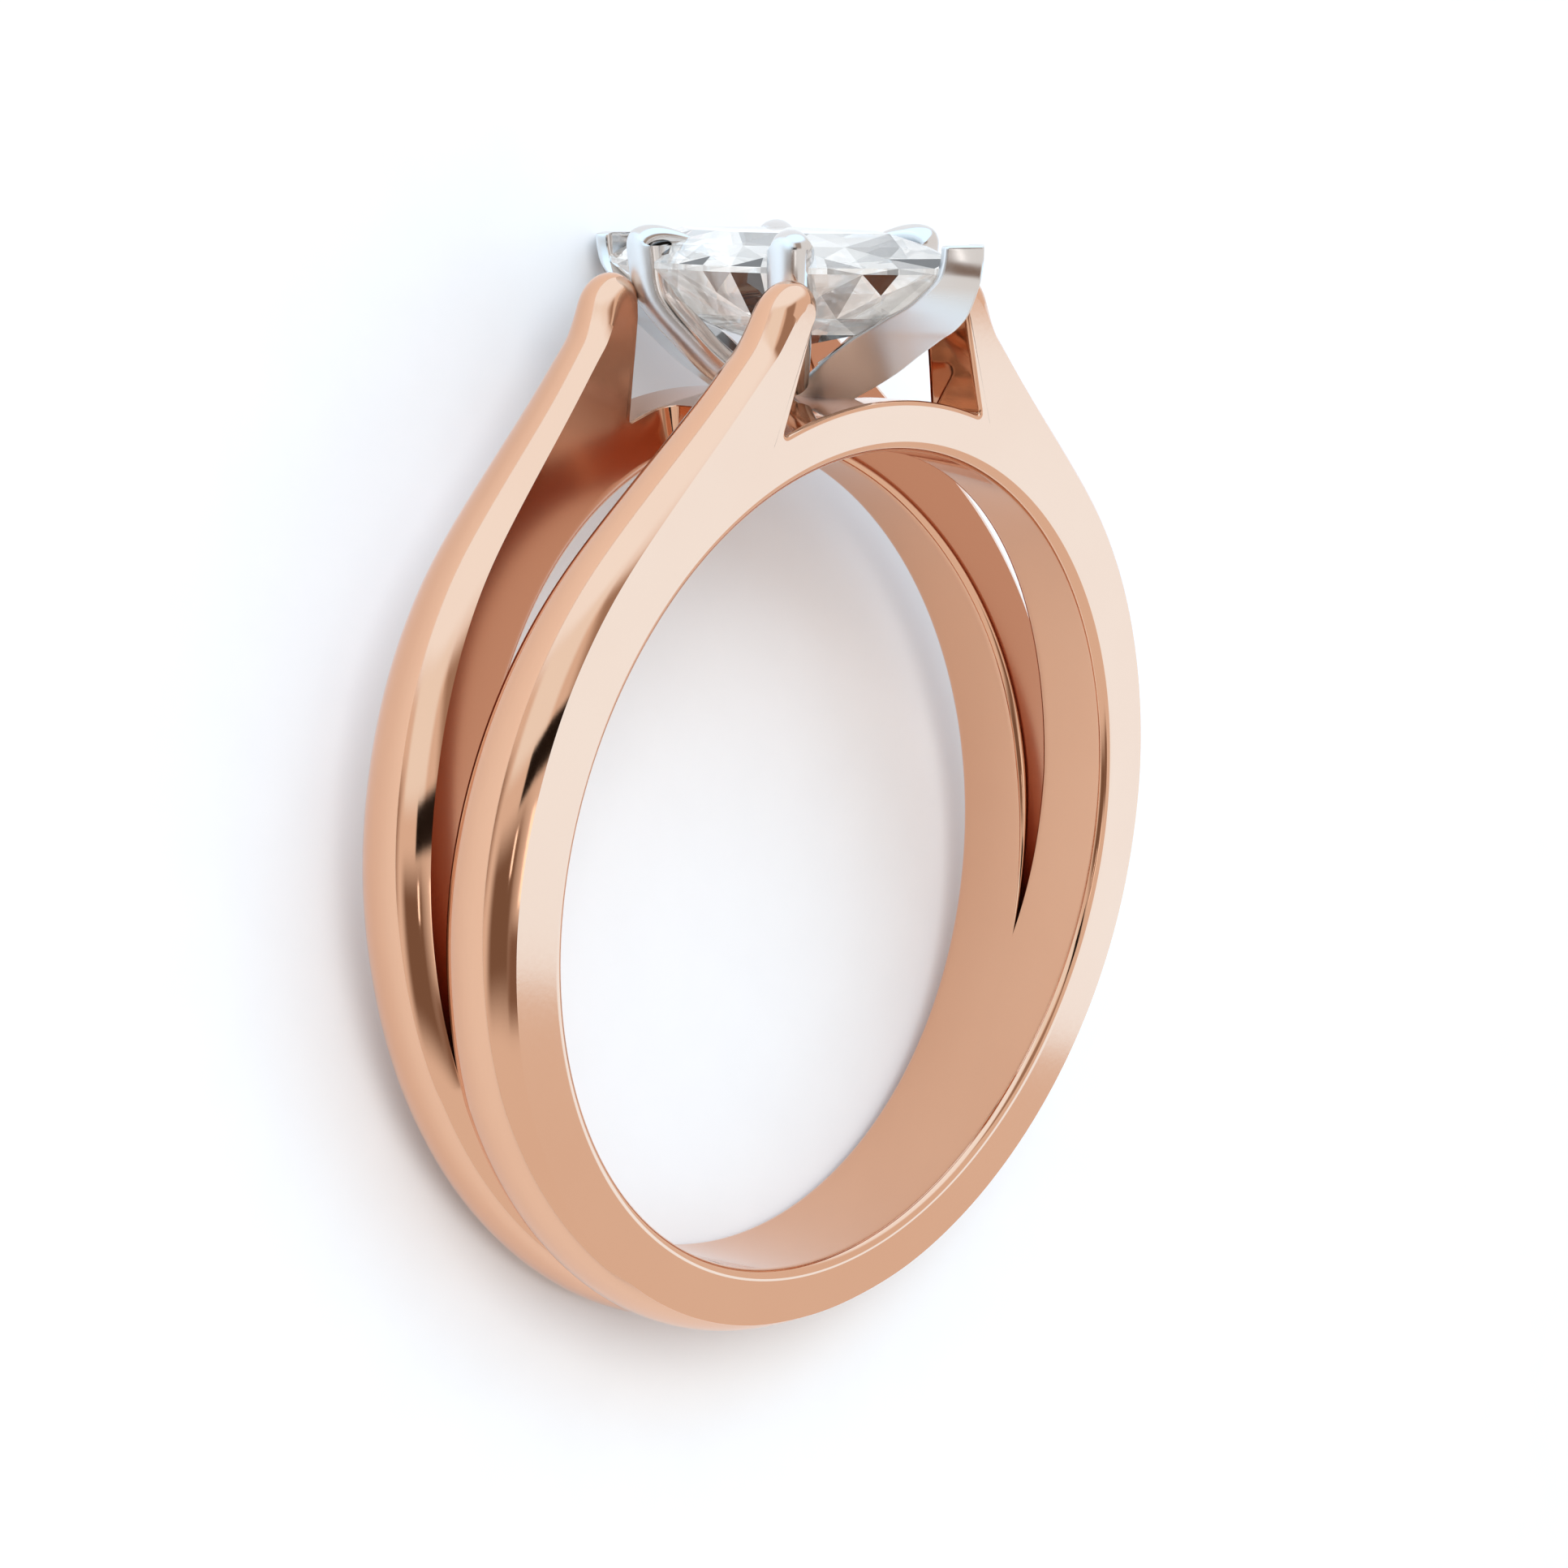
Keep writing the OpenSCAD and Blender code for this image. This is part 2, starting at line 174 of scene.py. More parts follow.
# Claw: outer edge distance from the middle and height as shares, thickness and width as shares
CLAW_ROWS = np.array([
    [0.36, 0.739, 0.80, 1.0], [0.49, 0.7629, 0.80, 1.0], [0.60, 0.7880, 0.80, 1.0],
    [0.704, 0.8146, 0.82, 0.98], [0.81, 0.8420, 0.84, 0.96], [0.885, 0.8650, 0.86, 0.96],
    [0.935, 0.8860, 0.90, 0.97], [0.968, 0.9100, 0.95, 0.98], [0.986, 0.9350, 1.0, 1.0],
    [0.997, 0.9600, 1.0, 1.0], [0.997, 0.9760, 1.0, 0.99], [0.970, 0.9900, 0.90, 0.95],
    [0.915, 0.9975, 0.74, 0.88], [0.840, 1.0000, 0.58, 0.76], [0.760, 0.9975, 0.44, 0.60],
    [0.680, 0.9915, 0.32, 0.42], [0.610, 0.9840, 0.20, 0.24], [0.570, 0.9780, 0.10, 0.10],
])
CLAW_SECTIONS = 70
CLAW_SIDES = 32
# Places on the stone whose nearest facet is painted dark: painted shade standing in for light that
# leaks out below
PAINTED_DARK_FACET_SPOTS = np.array([
    [-2.20, -1.10, 12.15], [-1.94, -0.78, 11.84], [-1.11, -3.51, 12.15],
    [-0.49, -4.13, 12.53], [-1.92, 1.65, 12.60],
])


def half_w(z):
    """Half width of the band at height z: it grows evenly toward the stone."""
    return BAND_W / 2 + SIDE_LEAN * z


def slot_half(z):
    """Half gap between the ribs at height z: a sum of weighted powers of the height share above
    the slot's foot, times half the tip gap, and zero below the foot."""
    share = np.clip((np.asarray(z, float) - SLOT_FOOT_Z) / (TIP_H - SLOT_FOOT_Z), 0, None)
    return sum(w * share ** (k + 1) for k, w in enumerate(SLOT_WEIGHTS)) * TIP_GAP / 2


# The resting pose: tilt that brings the foot's rim and the lower V prong to the floor together
foot_half_w = half_w(-FOOT_CREASE_R)
vee_y, vee_z = VEE_ROWS[:, 0] * VEE_REACH, VEE_ROWS[:, 1] * VEE_H
REST_TILT = float(np.arctan2(vee_y - foot_half_w, vee_z + FOOT_CREASE_R).max())
REST_LIFT = foot_half_w * math.cos(REST_TILT) + FOOT_CREASE_R * math.sin(REST_TILT)
# The row's Y runs from the foot's dome to the V prong's top: the ring is centred between the two
REST_TOP = VEE_REACH * math.sin(REST_TILT) + VEE_H * math.cos(REST_TILT)
REST_LENGTH = MM_PER_M * (cad_box[1][1] - cad_box[0][1])
REST_SHIFT = REST_LENGTH / 2 - REST_TOP


def turn_down(v):
    """Directions of the ring's frame in the row's: turned about X by the tilt less 90 degrees."""
    x, y, z = np.moveaxis(np.asarray(v, float), -1, 0)
    s, c = math.sin(REST_TILT), math.cos(REST_TILT)
    return np.stack([x, y * s + z * c, -y * c + z * s], -1)


def lay_down(points):
    """Points of the ring's frame in millimetres, laid on the floor in metres."""
    return (turn_down(points) + np.array([0, REST_SHIFT, REST_LIFT])) / MM_PER_M


def fine_rows(rows):
    """Close samples of the smooth curve through the rows: cubic pieces whose slopes are half the
    step between each row's neighbours. Also gives the distance run, from the first two columns."""
    n = len(rows)
    padded = np.vstack([2 * rows[0] - rows[1], rows, 2 * rows[-1] - rows[-2]])
    t = np.linspace(0, n - 1, ROW_SAMPLES * n)
    i = np.minimum(t.astype(int), n - 2)
    f = (t - i)[:, None]
    a, b, c, d = padded[i], padded[i + 1], padded[i + 2], padded[i + 3]
    fine = 0.5 * (
        2 * b + (c - a) * f + (2 * a - 5 * b + 4 * c - d) * f**2 + (3 * b - a - 3 * c + d) * f**3
    )
    return fine, np.concatenate([[0], np.cumsum(np.hypot(*np.diff(fine[:, :2], axis=0).T))])


def sample(curve, run, at):
    """Every column of a curve read at the given distances."""
    return np.stack([np.interp(at, run, curve[:, k]) for k in range(curve.shape[1])], -1)


def smooth_rows(rows, count):
    """Even samples of the smooth curve through the rows."""
    fine, run = fine_rows(rows)
    return sample(fine, run, np.linspace(0, run[-1], count))


def soften(curve, step, width, start_mirror):
    """Columns of an evenly spaced curve averaged with a bell of the given width in millimetres.
    Before its start the curve is mirrored by start_mirror, past its end it runs straight on."""
    reach = int(3 * width / step) + 1
    before = curve[1:reach + 1][::-1] * start_mirror
    after = 2 * curve[-1] - curve[-reach - 1:-1][::-1]
    whole = np.vstack([before, curve, after])
    bell = np.exp(-0.5 * (np.arange(-reach, reach + 1) * step / width) ** 2)
    bell /= bell.sum()
    return np.stack([np.convolve(whole[:, k], bell, "valid") for k in range(whole.shape[1])], -1)


def rounded_corner(before, corner, after, count):
    """Points of a quadratic curve that leaves before toward the corner and arrives at after."""
    t = np.linspace(0, 1, count)[:, None]
    return before * (1 - t) ** 2 + corner * 2 * t * (1 - t) + after * t**2


def grid_faces(rows, cols):
    """Quads of a grid of rows by cols points whose last column is joined to the first."""
    r, c = np.meshgrid(np.arange(rows - 1), np.arange(cols), indexing="ij")
    n = (c + 1) % cols
    quads = [r * cols + c, r * cols + n, (r + 1) * cols + n, (r + 1) * cols + c]
    return np.stack(quads, -1).reshape(-1, 4)


def make_piece(name, verts, faces, node, material, sharp=None):
    """A mesh piece in the row frame that stands for a CAD node, with its faces turned outward. It
    is shaded smooth where its faces meet at less than the angle sharp, or nowhere without one."""
    mesh = bpy.data.meshes.new(name)
    mesh.from_pydata(verts.tolist(), [], [f if isinstance(f, list) else f.tolist() for f in faces])
    bm = bmesh.new()
    bm.from_mesh(mesh)
    bmesh.ops.remove_doubles(bm, verts=bm.verts, dist=WELD)
    bmesh.ops.dissolve_degenerate(bm, edges=bm.edges, dist=WELD)
    bmesh.ops.recalc_face_normals(bm, faces=bm.faces)
    bm.to_mesh(mesh)
    bm.free()
    if sharp is not None:
        mesh.shade_smooth()
        mesh.set_sharp_from_angle(angle=math.radians(sharp))
    mesh.materials.append(material)
    piece = bpy.data.objects.new(name, mesh)
    bpy.context.scene.collection.objects.link(piece)
    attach(piece, "root")
    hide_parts(node)
    return piece


def crease_run():
    """The crease between side face and dome from the foot round the shoulder tip and down the inner
    wall, softened, with close rows over the tip and wider ones along the band: columns x, z, dome
    slope, wall share and bore angle."""
    angle = np.radians(BAND_ROWS[:, 0])
    radius = FOOT_CREASE_R * BAND_ROWS[:, 1]
    x, z = radius * np.sin(angle), -radius * np.cos(angle)
    band = np.stack([x, z, BAND_ROWS[:, 2], 0 * angle, BAND_ROWS[:, 0]], -1)
    shoulder = SHOULDER_ROWS * np.array([TIP_H, TIP_H, 1, 1, 1])
    fine, run = fine_rows(np.vstack([band, shoulder]))
    even = sample(fine, run, np.arange(0, run[-1], FINE_STEP))
    mirror = np.array([-1, 1, 1, 1, -1])
    near_tip = np.clip((even[:, 1:2] - TIP_FROM_Z) / TIP_BLEND_H, 0, 1)
    past_tip = np.maximum.accumulate((even[:, 1:2] > TIP_FULL_Z) * 1.0)
    near_tip = np.maximum(near_tip * near_tip * (3 - 2 * near_tip), past_tip)
    on_band = soften(even, FINE_STEP, BAND_BELL, mirror)
    on_tip = soften(even, FINE_STEP, TIP_BELL, mirror)
    crease = on_band * (1 - near_tip) + on_tip * near_tip
    crease[0, [0, 4]] = 0
    weight = BAND_STEP / (BAND_STEP + (TIP_STEP - BAND_STEP) * near_tip[:-1, 0])
    count = np.concatenate([[0], np.cumsum(weight)]) * FINE_STEP / BAND_STEP
    return sample(crease, count, np.linspace(0, count[-1], int(count[-1]) + 2))


def outer_run():
    """The left half of the shank seen along the finger: the crease's run, then the window's rounded
    corner and the plate's top to the middle, in the same columns."""
    crease = crease_run()
    apex = np.array(CORNER) * TIP_H
    wall_way = crease[-1, :2] - apex
    wall_way /= np.linalg.norm(wall_way)
    plate_x = apex[0] - CORNER_REACH
    on_plate = np.array([plate_x, math.sqrt(PLATE_R**2 - plate_x**2)])
    corner = rounded_corner(apex + wall_way * CORNER_REACH, apex, on_plate, CORNER_STEPS)
    away = np.linalg.norm(crease[:, :2] - apex, axis=1)
    crease = crease[away > CORNER_REACH + CORNER_CLEAR]
    # Along the plate to the slot's rounded end, round it, over its edge and on to the middle
    top_x = np.concatenate([
        np.linspace(plate_x, SLOT_END_X + SLOT_CORNER_R, PLATE_STEPS)[1:-1],
        SLOT_END_X + SLOT_CORNER_R * (1 - np.sin(np.linspace(0, np.pi / 2, SLOT_CORNER_STEPS))),
        [SLOT_END_X - SLOT_END_STEP], np.linspace(SLOT_END_X, 0, PLATE_MIDDLE_STEPS)[1:],
    ])
    top = np.vstack([corner, np.stack([top_x, np.sqrt(PLATE_R**2 - top_x**2)], -1)])
    foot_x = np.where(top[:, 0] < FAN_X, top[:, 0], FAN_X + (top[:, 0] - FAN_X) * FAN_SHARE)
    theta = 180 - np.degrees(np.arcsin(foot_x / BORE_R))
    theta[:CORNER_STEPS] = np.linspace(crease[-1, 4], theta[CORNER_STEPS], CORNER_STEPS + 1)[1:]
    theta = np.maximum.accumulate(theta)
    flat = np.ones((len(top), 1))
    return np.vstack([crease, np.hstack([top, PLATE_SLOPE * flat, flat, theta[:, None]])])


def slot_at(x, z):
    """Half gap of the slot at a point: rounded in at the plate's end and zero past it."""
    gap = slot_half(z)
    near = np.clip((SLOT_END_X + SLOT_CORNER_R - x) / SLOT_CORNER_R, 0, 1)
    gap = gap - SLOT_CORNER_R * (1 - np.sqrt(1 - near**2)) * (z > 0)
    return np.where((x < SLOT_END_X) & (z > 0), 0.0, gap)


def at(x, z, y):
    """Points from columns of x and z in the plane of the ring and y along the finger."""
    return np.stack([x, y, z], -1)


def edge_columns(run, out):
    """Columns over the outer edge, from the side face to the slot: an arc whose slope at both ends
    is the dome's, and a flat wall with rounded rims, blended by the wall share."""
    x, z, slope, wall = run[:, :4].T
    gap = slot_at(x, z)
    side = half_w(z)
    span = side - gap
    half = span / 2
    edge_r = half / np.sin(np.radians(slope))
    open_slot = (gap > NO_LENGTH).astype(float)
    arc = np.linspace(0, np.pi / 2, RIM_STEPS)
    rim_y = np.append(RIM_FILLET * (1 - np.cos(arc)), RIM_FILLET + RIM_HOLD)
    rim_in = np.append(RIM_FILLET * (1 - np.sin(arc)), 0)
    flat = np.linspace(0, 1, WALL_STEPS + 2)[1:-1]
    columns = []
    for k, share in enumerate(np.linspace(0, 1, EDGE_STEPS)):
        rise = np.sqrt(np.maximum(edge_r**2 - (half * (2 * share - 1)) ** 2, 0))
        rise = rise - edge_r * np.cos(np.radians(slope))
        dome_y = -side + span * share
        if k <= RIM_STEPS:
            cut = rim_in[k]
            wall_y = -side + rim_y[k] - SIDE_LEAN * (out[:, 1] * -cut)
        elif k <= RIM_STEPS + WALL_STEPS:
            cut = 0
            wall_y = -side + RIM_FILLET + (span - 2 * RIM_FILLET) * flat[k - RIM_STEPS - 1]
        else:
            cut = rim_in[EDGE_STEPS - 1 - k] * open_slot
            wall_y = -gap - rim_y[EDGE_STEPS - 1 - k] * open_slot
        away = rise * (1 - wall) - cut * wall
        px, pz = x + out[:, 0] * away, z + out[:, 1] * away
        columns.append(at(px, pz, dome_y * (1 - wall) + wall_y * wall))
    return columns


def shank_surface():
    """A quarter of the shank as a grid of sections along its outer run, mirrored twice and welded.
    Each section goes over the dome or the rounded wall from the side face to the slot, in along the
    slot's wall, over the bore and back out on the side face."""
    run = outer_run()
    x, z = run[:, 0], run[:, 1]
    tangent = np.gradient(run[:, :2], axis=0)
    tangent /= np.linalg.norm(tangent, axis=1)[:, None]
    out = np.stack([tangent[:, 1], -tangent[:, 0]], -1)
    out[0] = (0, -1)
    out[-1] = (0, 1)
    columns = edge_columns(run, out)
    # In along the slot's wall to the bore, over its rounded edge, and across the bore
    theta = np.radians(run[:, 4])
    bx, bz = np.sin(theta), -np.cos(theta)
    bore_gap = slot_at(BORE_R * bx, BORE_R * bz)
    soft = BORE_FILLET * np.clip(bore_gap / FILLET_FADE, 0, 1)
    for share in SLOT_WALL_SHARES:
        r = BORE_R + soft
        px = x + (r * bx - x) * share
        pz = z + (r * bz - z) * share
        columns.append(at(px, pz, -slot_at(px, pz)))
    for q in np.linspace(0, np.pi / 2, SLOT_FILLET_STEPS):
        r = BORE_R + soft * (1 - np.sin(q))
        px, pz = r * bx, r * bz
        columns.append(at(px, pz, -slot_at(px, pz) - soft * (1 - np.cos(q))))
    near = bore_gap + soft
    far = half_w(BORE_R * bz) - BORE_FILLET
    for share in BORE_SHARES:
        columns.append(at(BORE_R * bx, BORE_R * bz, -(near + (far - near) * share)))
    for q in np.linspace(0, np.pi / 2, BORE_FILLET_STEPS):
        r = BORE_R + BORE_FILLET * (1 - np.cos(q))
        px, pz = r * bx, r * bz
        columns.append(at(px, pz, -half_w(pz) + BORE_FILLET * (1 - np.sin(q))))
    # Back out on the side face to the first column
    ex, ez = columns[0][:, 0], columns[0][:, 2]
    for share in SIDE_SHARES:
        qx = px + (ex - px) * share
        qz = pz + (ez - pz) * share
        columns.append(at(qx, qz, -half_w(qz)))
    grid = np.stack(columns, 1)
    points = grid.reshape(-1, 3)
    quads = grid_faces(*grid.shape[:2])
    # Faces in the middle plane, where the slot is closed, would lie inside the metal
    quads = quads[~(np.abs(points[quads][:, :, 1]) < NO_LENGTH).all(1)]
    turned = points * np.array([-1, 1, 1])
    left = np.vstack([turned, turned * np.array([1, -1, 1])])
    whole = np.vstack([left, left * np.array([-1, 1, 1])])
    n = len(points)
    faces = np.vstack([quads, quads[:, ::-1] + n, quads[:, ::-1] + 2 * n, quads + 3 * n])
    return whole, faces


def capped(rings):
    """Points and faces of a tube through closed rings, each end closed by one face."""
    rows, cols = rings.shape[:2]
    faces = list(grid_faces(rows, cols))
    faces.append(list(range(cols))[::-1])
    faces.append([(rows - 1) * cols + k for k in range(cols)])
    return rings.reshape(-1, 3), faces


def claw_rings():
    """Sections of a claw square to its outer edge: an oval whose outer point lies on the edge."""
    reach = math.hypot(CLAW_X, CLAW_Y) + CLAW_D / 2
    run = smooth_rows(CLAW_ROWS * np.array([reach, CLAW_H, CLAW_D, CLAW_D]), CLAW_SECTIONS)
    d = np.gradient(run[:, :2], axis=0)
    n = np.stack([-d[:, 1], d[:, 0]], -1) / np.linalg.norm(d, axis=1)[:, None]
    q = np.linspace(0, 2 * np.pi, CLAW_SIDES + 1)[:-1]
    e = run[:, 2:3] / 2 * (1 - np.cos(q))
    w = run[:, 3:4] / 2 * np.sin(q)
    return np.stack([run[:, :1] + n[:, :1] * e, w, run[:, 1:2] + n[:, 1:2] * e], -1)


def turned_about_z(points, angle):
    """Points turned about the ring's Z axis."""
    x, y, z = np.moveaxis(points, -1, 0)
    s, c = math.sin(angle), math.cos(angle)
    return np.stack([x * c - y * s, x * s + y * c, z], -1)


def toward(start, goal):
    """Unit steps from each start point to its goal, and none where the two meet."""
    way = goal - start
    return way / np.maximum(np.linalg.norm(way, axis=-1, keepdims=True), 1e-9)


def rounded_loop(corners, radii):
    """A closed loop whose corners are rounded: the points of each are a quadratic curve that leaves
    the side before the corner and joins the side after it, both at the corner's radius."""
    loop = []
    for i, (p, radius) in enumerate(zip(corners, radii)):
        before, after = toward(p, corners[i - 1]), toward(p, corners[(i + 1) % len(corners)])
        for t in np.linspace(0, 1, ARC_STEPS):
            loop.append(p + before * radius * (1 - t) ** 2 + after * radius * t**2)
    return np.stack(loop, 1)


def vee_rings():
    """Level sections of a V prong: two legs from the outer edge that fill up toward the base."""
    rows = VEE_ROWS * np.array([VEE_REACH, VEE_H, VEE_REACH, VEE_LEG, VEE_REACH])
    outer, z, inner, leg, end = smooth_rows(rows, VEE_SECTIONS).T
    s, c = math.sin(math.radians(VEE_SIDE)), math.cos(math.radians(VEE_SIDE))
    wall = np.minimum(VEE_WALL, leg / 2)
    leg_x = leg * s
    in_x = leg_x - wall * c
    in_y = np.minimum(end - wall * s, inner + VEE_WALL)
    inner = np.minimum(inner, outer - VEE_WALL)
    middle = 0 * z
    corners = [
        at(middle, z, outer), at(-leg_x, z, end), at(-in_x, z, in_y),
        at(middle, z, inner), at(in_x, z, in_y), at(leg_x, z, end),
    ]
    rings = rounded_loop(corners, VEE_RADII)
    # The flat top has a small rounded rim: shrunken rings above the last full one
    inward = rings[0].mean(0) - rings[0]
    inward[:, 2] = 0
    inward /= np.linalg.norm(inward, axis=1)[:, None]
    rim = []
    for q in np.linspace(np.pi / 2, 0, VEE_RIM_STEPS + 1)[:-1]:
        ring = rings[0] + inward * VEE_RIM * (1 - np.cos(q))
        ring[:, 2] += VEE_RIM * np.sin(q) - VEE_RIM
        rim.append(ring)
    rings[0, :, 2] -= VEE_RIM
    return np.concatenate([np.stack(rim), rings])


def head_surface():
    """Four claws and two V prongs that run together over the plate."""
    parts = []
    claw, claw_faces = capped(claw_rings())
    side = math.atan2(CLAW_Y, CLAW_X)
    for angle in (side, math.pi - side, math.pi + side, -side):
        parts.append((turned_about_z(claw, angle), claw_faces))
    vee, vee_faces = capped(vee_rings())
    for angle in (0, math.pi):
        parts.append((turned_about_z(vee, angle), vee_faces))
    verts, faces, n = [], [], 0
    for v, f in parts:
        verts.append(v)
        faces += [[int(i) + n for i in face] for face in f]
        n += len(v)
    return np.vstack(verts), faces


def marquise_ring(share_l, share_w, count, start):
    """Points on two equal arcs that meet at the tips, scaled by shares of length and width. Each
    arc has count points in even turns, the first of them start steps from the tip."""
    l, w = STONE_L / 2, STONE_W / 2
    r = (l * l + w * w) / (2 * w)
    a = math.asin(l / r)
    k = (np.arange(count) + start) / count
    q = a - 2 * a * k
    left = np.stack([-(r * np.cos(q) - (r - w)) * share_w, -r * np.sin(q) * share_l], -1)
    return np.vstack([left, -left])


def stone_surface():
    """Marquise cut as the hull of its corner points: table, star and kite breaks, girdle, pavilion
    break and keel, so that every facet is flat."""
    points = []

    def level(share_l, share_w, height, count, start):
        """Adds one level's corner points at its height."""
        xy = marquise_ring(share_l, share_w, count, start)
        points.append(np.column_stack([xy, np.full(len(xy), height)]))

    level(0.58, 0.56, GIRDLE_Z + CROWN_H, 4, 0)
    level(0.78, 0.77, GIRDLE_Z + CROWN_H * 0.65, 8, 0.5)
    level(0.915, 0.905, GIRDLE_Z + CROWN_H * 0.34, 8, 0)
    level(1.0, 1.0, GIRDLE_Z + GIRDLE_T / 2, 16, 0)
    level(1.0, 1.0, GIRDLE_Z - GIRDLE_T / 2, 16, 0)
    level(0.85, 0.835, GIRDLE_Z - PAVILION_H * 0.30, 8, 0)
    level(0.66, 0.62, GIRDLE_Z - PAVILION_H * 0.60, 8, 0.5)
    level(0.40, 0.32, GIRDLE_Z - PAVILION_H * 0.83, 4, 0)
    level(0.10, 0.02, GIRDLE_Z - PAVILION_H, 1, 0)
    return np.vstack(points)


def hull_of(points):
    """Points and faces of the convex hull round the points."""
    bm = bmesh.new()
    for p in points:
        bm.verts.new(p)
    bmesh.ops.convex_hull(bm, input=bm.verts)
    bmesh.ops.delete(bm, geom=[v for v in bm.verts if not v.link_faces], context="VERTS")
    bm.verts.index_update()
    verts = np.array([v.co[:] for v in bm.verts])
    faces = [[v.index for v in f.verts] for f in bm.faces]
    bm.free()
    return verts, faces


def node(tree, kind, inputs=None, links=None, **settings):
    """Adds a node, sets its settings and inputs, and links each named input to a socket."""
    made = tree.nodes.new(kind)
    for key, value in settings.items():
        setattr(made, key, value)
    for key, value in (inputs or {}).items():
        made.inputs[key].default_value = value
    for key, socket in (links or {}).items():
        tree.links.new(socket, made.inputs[key])
    return made


def linear(hex_text):
    """An sRGB hex colour as linear light, opaque."""
    v = np.array([int(hex_text[i:i + 2], 16) for i in (0, 2, 4)]) / 255
    v = np.where(v <= 0.04045, v / 12.92, ((v + 0.055) / 1.055) ** 2.4)
    return (float(v[0]), float(v[1]), float(v[2]), 1.0)


def new_material(name):
    """An empty node material with its shader and output."""
    material = bpy.data.materials.new(name)
    material.use_nodes = True
    tree = material.node_tree
    tree.nodes.clear()
    shader = node(tree, "ShaderNodeBsdfPrincipled")
    node(tree, "ShaderNodeOutputMaterial", links={"Surface": shader.outputs["BSDF"]})
    return material, tree, shader


# How squarely a wall has to face a way to have the inner finish, rougher and with a painted tone,
# and the softness of the change
MIDDLE_FACING = 0.93
MIDDLE_SOFT = 0.03
ACROSS_FACING = 0.72
ACROSS_SOFT = 0.08
# A share above any that occurs
PAST_ALL = 2.0


def facing_middle(tree, spots):
    """1 on walls square to the finger axis that face the ring's middle plane, else 0."""
    normal = node(tree, "ShaderNodeNewGeometry").outputs["Normal"]
    axis = (0, 1, 0)
    middle = float(np.dot(lay_down(np.zeros(3)), turn_down(axis)))
    far_half = node(tree, "ShaderNodeMath", {1: middle}, {0: along(tree, spots, axis)},
                    operation="GREATER_THAN")
    sign = node(tree, "ShaderNodeMapRange", {"To Min": 1.0, "To Max": -1.0},
                {"Value": far_half.outputs[0]})
    inward = node(tree, "ShaderNodeMath", operation="MULTIPLY",
                  links={0: along(tree, normal, axis), 1: sign.outputs["Result"]})
    return within(tree, inward.outputs[0], MIDDLE_FACING, PAST_ALL, MIDDLE_SOFT)


def facing_across(tree, spots):
    """1 on walls that face along the ring's X, either way, wherever they are, else 0."""
    normal = node(tree, "ShaderNodeNewGeometry").outputs["Normal"]
    size = node(tree, "ShaderNodeMath", operation="ABSOLUTE",
                links={0: along(tree, normal, (1, 0, 0))})
    return within(tree, size.outputs[0], ACROSS_FACING, PAST_ALL, ACROSS_SOFT)


# Waves in a metre of the alloy's drift of tone (3 mm long) and of the polishing haze (0.1 mm long,
# coarser than real scratches, so that it shows)
DRIFT_PER_M = 350.0
HAZE_PER_M = 9000.0


def polished_metal(name, tone, tone_deep, roughness, inner, rough_and_painted_mask):
    """Cast metal, ground and polished on a buffing wheel: mirror gloss with a faint haze of fine
    scratches and a slight drift of tone from the alloy. The walls that the wheel hardly reaches,
    picked by the mask, keep a rougher inner finish; their colour is a painted tone of its own,
    painted shade where it is darker than the metal and painted light where it is lighter."""
    material, tree, shader = new_material(name)
    spots = node(tree, "ShaderNodeTexCoord").outputs["Object"]
    drift = node(tree, "ShaderNodeTexNoise", {"Scale": DRIFT_PER_M, "Detail": 2.0},
                 {"Vector": spots})
    colour = node(tree, "ShaderNodeMixRGB", {"Color1": linear(tone), "Color2": linear(tone_deep)},
                  {"Fac": drift.outputs["Fac"]})
    haze = node(tree, "ShaderNodeTexNoise", {"Scale": HAZE_PER_M, "Detail": 3.0},
                {"Vector": spots})
    rough = node(tree, "ShaderNodeMapRange",
                 {"To Min": roughness * 0.8, "To Max": roughness * 1.25},
                 {"Value": haze.outputs["Fac"]})
    bump = node(tree, "ShaderNodeBump", {"Strength": 0.012, "Distance": 0.00001},
                {"Height": haze.outputs["Fac"]})
    painted_inner_tone, inner_roughness = inner
    mask = rough_and_painted_mask(tree, spots)
    # The masked walls take the painted inner tone: painted shade or painted light over the metal's
    # colour
    shade = node(tree, "ShaderNodeMixRGB", {"Color2": linear(painted_inner_tone)},
                 {"Fac": mask, "Color1": colour.outputs["Color"]})
    gloss = node(tree, "ShaderNodeMapRange", {"To Max": inner_roughness},
                 {"Value": mask, "To Min": rough.outputs["Result"]})
    shader.inputs["Metallic"].default_value = 1.0
    tree.links.new(shade.outputs["Color"], shader.inputs["Base Color"])
    tree.links.new(gloss.outputs["Result"], shader.inputs["Roughness"])
    tree.links.new(bump.outputs["Normal"], shader.inputs["Normal"])
    return material


# The facets' painted tones are spread by a sine of this turn for each facet, and of this height
TONE_TURN = 12.9898
TONE_SPREAD = 43758.5453
# Painted facet tones, a painted sparkle, by the share of thrown back light from which each holds
PAINTED_FACET_TONES = ((0.08, "A3A19F"), (0.24, "D9D7D4"), (0.50, "F5F3F0"))
# Painted shade for the facets nearest the dark places
PAINTED_DARK_FACET_TONE = "0C0C0C"


def give_painted_facet_light(mesh):
    """Each facet's own share of painted light for the stone's painted sparkle, 0 to 1: the fraction
    of a large sine of its number, and none for the facets whose middles lie nearest to the dark
    places."""
    number = np.arange(len(mesh.polygons)) + 1
    share = np.mod(np.sin(number * TONE_TURN) * TONE_SPREAD, 1.0)
    middles = np.array([facet.center[:] for facet in mesh.polygons])
    away = np.linalg.norm(middles[:, None] - lay_down(PAINTED_DARK_FACET_SPOTS)[None], axis=2)
    share[away.argmin(0)] = 0.0
    tone = mesh.attributes.new("painted_facet_light", "FLOAT", "FACE")
    tone.data.foreach_set("value", share)


